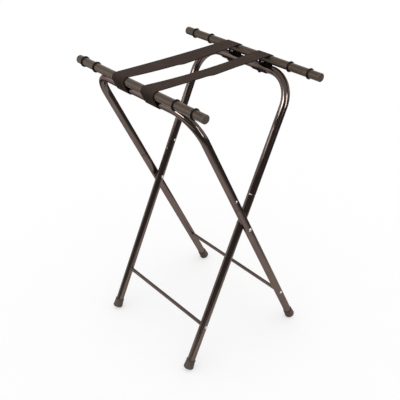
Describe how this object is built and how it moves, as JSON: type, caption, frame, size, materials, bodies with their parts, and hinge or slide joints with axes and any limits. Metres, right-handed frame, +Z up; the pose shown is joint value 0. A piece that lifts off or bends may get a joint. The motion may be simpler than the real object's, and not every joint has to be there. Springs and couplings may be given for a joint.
{
  "type": "folding tray stand",
  "caption": "Scissor-folding tray stand: bent tube frames crossed on a pivot, ringed top bars for the tray, and webbing straps that stop the spread.",
  "frame": {"origin": "on the floor, midway between the four legs and under the pivot", "axes": "+Z up, +X from the outer frame's bar to the inner frame's bar, +Y along the bars to the back"},
  "size_m": [0.4066, 0.516, 0.8072],
  "materials": {
    "frame_paint": "gloss bronze-brown metallic coat",
    "bar_paint": "satin brown powder coat",
    "zinc_steel": "bright zinc plate",
    "black_steel": "black oxide",
    "ring_rubber": "matt black rubber",
    "tip_rubber": "matt brown rubber",
    "plug_plastic": "matt brown moulded plastic",
    "spacer_nylon": "matt black nylon",
    "strap_webbing": "close plain weave, dark brown"
  },
  "bodies": {
    "outer_frame": {"outer_bend": "frame_paint", "outer_leg_front": "frame_paint", "outer_leg_back": "frame_paint", "outer_joint_rivets": "zinc_steel", "outer_stretcher": "frame_paint", "outer_stretcher_screws": "zinc_steel", "outer_foot_front": "tip_rubber", "outer_foot_back": "tip_rubber", "outer_top_bar": "bar_paint", "outer_bar_plug_front": "plug_plastic", "outer_bar_plug_back": "plug_plastic", "outer_bar_spacers": "zinc_steel", "outer_bar_screws": "black_steel", "outer_screw_washers": "black_steel", "outer_bar_inserts": "zinc_steel", "outer_grip_ring_1": "ring_rubber", "outer_grip_ring_2": "ring_rubber", "outer_grip_ring_3": "ring_rubber", "outer_grip_ring_4": "ring_rubber", "pivot_pin_front": "zinc_steel", "pivot_pin_back": "zinc_steel", "pivot_spacer_front": "spacer_nylon", "pivot_spacer_back": "spacer_nylon", "strap_front": "strap_webbing", "strap_back": "strap_webbing"},
    "inner_frame": {"inner_bend": "frame_paint", "inner_leg_front": "frame_paint", "inner_leg_back": "frame_paint", "inner_joint_rivets": "zinc_steel", "inner_stretcher": "frame_paint", "inner_stretcher_screws": "zinc_steel", "inner_foot_front": "tip_rubber", "inner_foot_back": "tip_rubber", "inner_top_bar": "bar_paint", "inner_bar_plug_front": "plug_plastic", "inner_bar_plug_back": "plug_plastic", "inner_bar_spacers": "zinc_steel", "inner_bar_screws": "black_steel", "inner_screw_washers": "black_steel", "inner_bar_inserts": "zinc_steel", "inner_grip_ring_1": "ring_rubber", "inner_grip_ring_2": "ring_rubber", "inner_grip_ring_3": "ring_rubber", "inner_grip_ring_4": "ring_rubber"}
  },
  "joints": [
    {"name": "fold", "type": "hinge", "parent": "outer_frame", "child": "inner_frame", "pos_m": [0, 0, 0.40556], "axis": [0, -1, 0], "range_deg": [0, 46.5], "deforming": ["strap_front", "strap_back"]}
  ]
}
